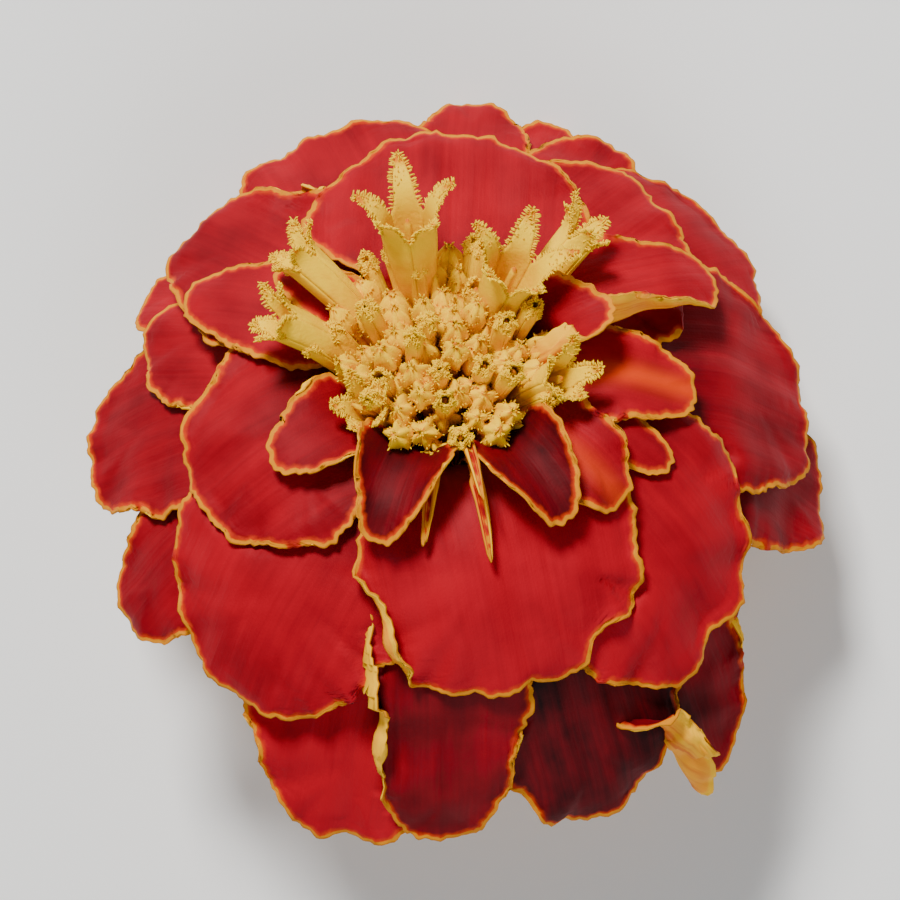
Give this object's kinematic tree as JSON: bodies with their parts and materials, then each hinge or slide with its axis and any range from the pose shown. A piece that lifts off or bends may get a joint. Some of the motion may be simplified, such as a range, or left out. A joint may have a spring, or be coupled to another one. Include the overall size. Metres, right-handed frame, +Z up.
{
  "type": "marigold flower",
  "caption": "Double marigold head with red gold-edged petals and golden disc florets, picked with a short stalk and lying on its side.",
  "frame": {"origin": "middle of the underside of the lying head's box, on the surface it lies on", "axes": "+Z up; the head's own axis leans about 37 degrees from +Z towards +Y, where its back petals touch the surface; -Y is the front of the head, which is lifted"},
  "size_m": [0.0508, 0.0496, 0.0329],
  "materials": {
    "petal_red": "velvety, satin, with thin golden margins",
    "floret_gold": "matte, slightly waxy",
    "bract_green": "smooth, waxy",
    "stalk_green": "finely ribbed, satin"
  },
  "bodies": {
    "root": {"disc_floret_01": "floret_gold", "disc_floret_02": "floret_gold", "disc_floret_03": "floret_gold", "disc_floret_04": "floret_gold", "disc_floret_05": "floret_gold", "disc_floret_06": "floret_gold", "disc_floret_07": "floret_gold", "disc_floret_08": "floret_gold", "disc_floret_09": "floret_gold", "disc_floret_10": "floret_gold", "disc_floret_11": "floret_gold", "disc_floret_12": "floret_gold", "disc_floret_13": "floret_gold", "disc_floret_14": "floret_gold", "disc_floret_15": "floret_gold", "disc_floret_16": "floret_gold", "disc_floret_17": "floret_gold", "disc_floret_18": "floret_gold", "disc_floret_19": "floret_gold", "disc_floret_20": "floret_gold", "involucre": "bract_green", "ray_floret_01": "petal_red", "ray_floret_02": "petal_red", "ray_floret_03": "petal_red", "ray_floret_04": "petal_red", "ray_floret_05": "petal_red", "ray_floret_06": "petal_red", "ray_floret_07": "petal_red", "ray_floret_08": "petal_red", "ray_floret_09": "petal_red", "ray_floret_10": "petal_red", "ray_floret_11": "petal_red", "ray_floret_12": "petal_red", "ray_floret_13": "petal_red", "ray_floret_14": "petal_red", "ray_floret_15": "petal_red", "ray_floret_16": "petal_red", "ray_floret_17": "petal_red", "ray_floret_18": "petal_red", "ray_floret_19": "petal_red", "ray_floret_20": "petal_red", "ray_floret_21": "petal_red", "ray_floret_22": "petal_red", "ray_floret_23": "petal_red", "ray_floret_24": "petal_red", "ray_floret_25": "petal_red", "ray_floret_26": "petal_red", "ray_floret_27": "petal_red", "ray_floret_28": "petal_red", "ray_floret_29": "petal_red", "ray_floret_30": "petal_red", "ray_floret_31": "petal_red", "ray_floret_32": "petal_red", "ray_floret_33": "petal_red", "ray_floret_34": "petal_red", "ray_floret_35": "petal_red", "ray_floret_36": "petal_red", "ray_floret_37": "petal_red", "stalk": "stalk_green"}
  },
  "joints": []
}
